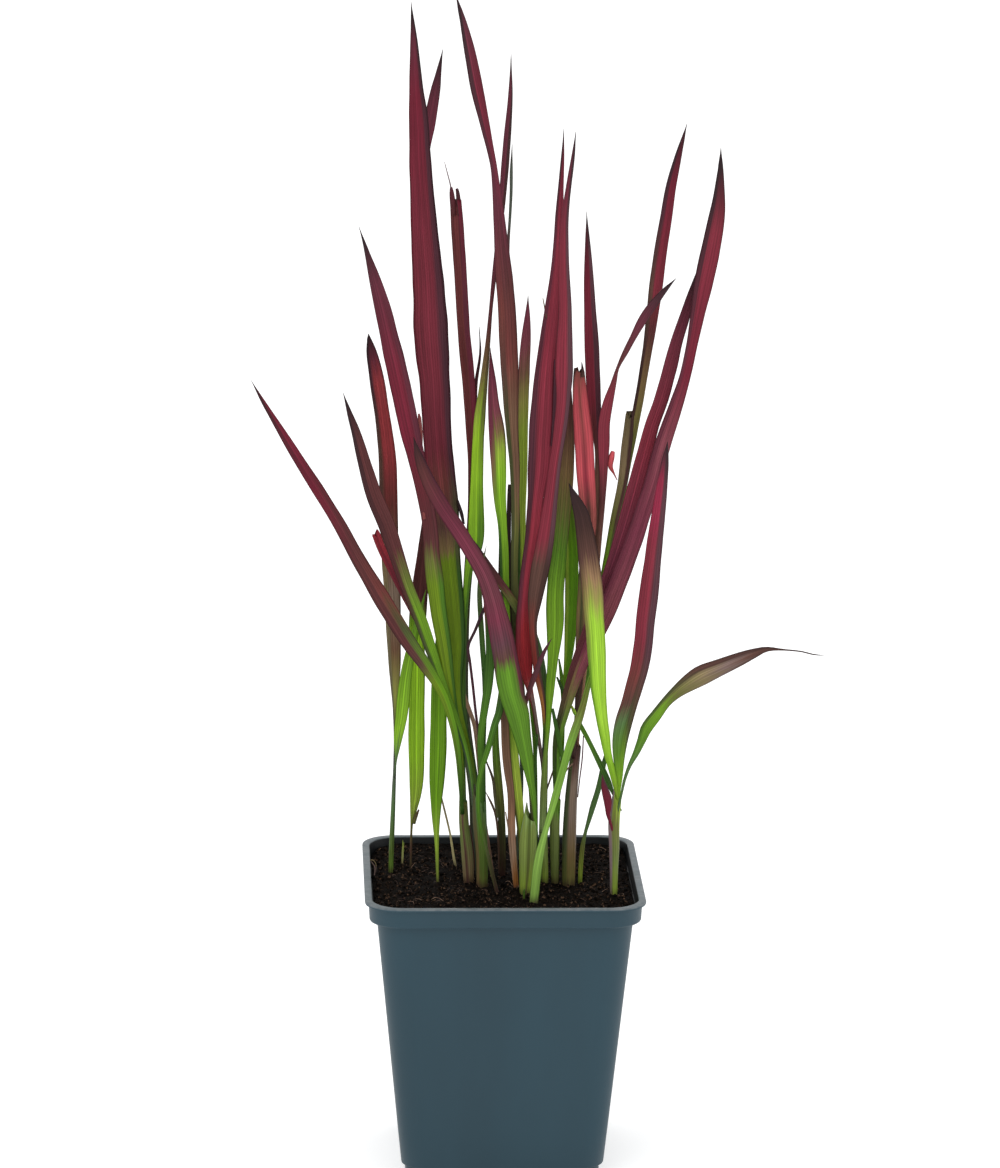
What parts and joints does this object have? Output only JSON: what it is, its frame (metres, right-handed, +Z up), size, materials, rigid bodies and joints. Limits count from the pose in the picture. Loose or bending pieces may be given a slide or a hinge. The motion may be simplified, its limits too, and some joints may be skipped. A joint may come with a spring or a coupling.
{
  "type": "potted japanese blood grass",
  "caption": "Upright clump of narrow grass blades, green at the foot and blood red toward the tips, standing in dark soil in a square tapered nursery pot",
  "frame": {"origin": "the middle of the pot's flat base, which stands on the ground", "axes": "+Z up along the plant's height, -Y the side seen in the picture, +X to the right in the picture, square to the pot's sides"},
  "size_m": [0.1808, 0.09, 0.3843],
  "materials": {
    "pot_plastic": "satin slate grey",
    "peat_soil": "damp dark peat, matte",
    "crimson_leaf": "living leaf, satin",
    "plum_leaf": "living leaf, satin",
    "brown_red_leaf": "living leaf, satin",
    "coral_leaf": "living leaf, satin",
    "green_leaf": "living leaf, satin",
    "bright_green_leaf": "living leaf, satin",
    "dark_green_leaf": "living leaf, satin",
    "olive_leaf": "living leaf, satin",
    "dry_straw": "dry, matte"
  },
  "bodies": {
    "root": {"pot": "pot_plastic", "soil": "peat_soil", "sheath_far_left": "dark_green_leaf", "sheath_left_olive": "olive_leaf", "sheath_left_green": "green_leaf", "sheath_centre": "green_leaf", "sheath_centre_right": "green_leaf", "sheath_right_green": "green_leaf", "sheath_right_brown": "olive_leaf", "sheath_right_shoot": "olive_leaf", "leaf_far_left": "crimson_leaf", "leaf_left_crossed": "brown_red_leaf", "leaf_left_upright": "brown_red_leaf", "leaf_left_side_branch": "dark_green_leaf", "leaf_left_broad_green": "bright_green_leaf", "leaf_left_short_green": "bright_green_leaf", "leaf_tall_left": "crimson_leaf", "leaf_tall_left_behind": "plum_leaf", "leaf_left_tilted": "plum_leaf", "leaf_stub_red": "crimson_leaf", "leaf_sliver": "coral_leaf", "leaf_long_centre": "plum_leaf", "leaf_broken_brown": "brown_red_leaf", "leaf_twisted": "olive_leaf", "leaf_pink_tip": "green_leaf", "leaf_brown_tip": "bright_green_leaf", "leaf_plum_crossing": "crimson_leaf", "leaf_green_crossing": "dark_green_leaf", "leaf_purple_left": "dark_green_leaf", "leaf_narrow_strand": "green_leaf", "leaf_dark_narrow": "dark_green_leaf", "thread_kinked_dark": "plum_leaf", "blade_dry_pink": "brown_red_leaf", "leaf_tall_centre": "plum_leaf", "leaf_tall_centre_right": "crimson_leaf", "leaf_centre_green": "green_leaf", "leaf_narrow_green": "green_leaf", "blade_small_dark": "plum_leaf", "leaf_brown_sheath": "brown_red_leaf", "leaf_olive_sheath": "olive_leaf", "leaf_front_green": "bright_green_leaf", "leaf_coral_folded": "coral_leaf", "leaf_slim_right": "plum_leaf", "leaf_slender_crossing": "crimson_leaf", "leaf_stub_olive": "olive_leaf", "leaf_right_olive": "olive_leaf", "leaf_right_pair_front": "crimson_leaf", "leaf_right_pair_behind": "plum_leaf", "leaf_bright_green": "bright_green_leaf", "leaf_right_upright": "crimson_leaf", "leaf_right_arching": "olive_leaf", "leaf_right_small_red": "crimson_leaf", "leaf_right_thin_dark": "dark_green_leaf", "leaf_thin_petiole": "green_leaf", "leaf_thread_tip_centre": "plum_leaf", "leaf_thread_tip_left": "plum_leaf", "stalk_straw": "dry_straw", "stub_yellow": "dry_straw", "sliver_dry": "brown_red_leaf", "stub_front": "dark_green_leaf"}
  },
  "joints": []
}
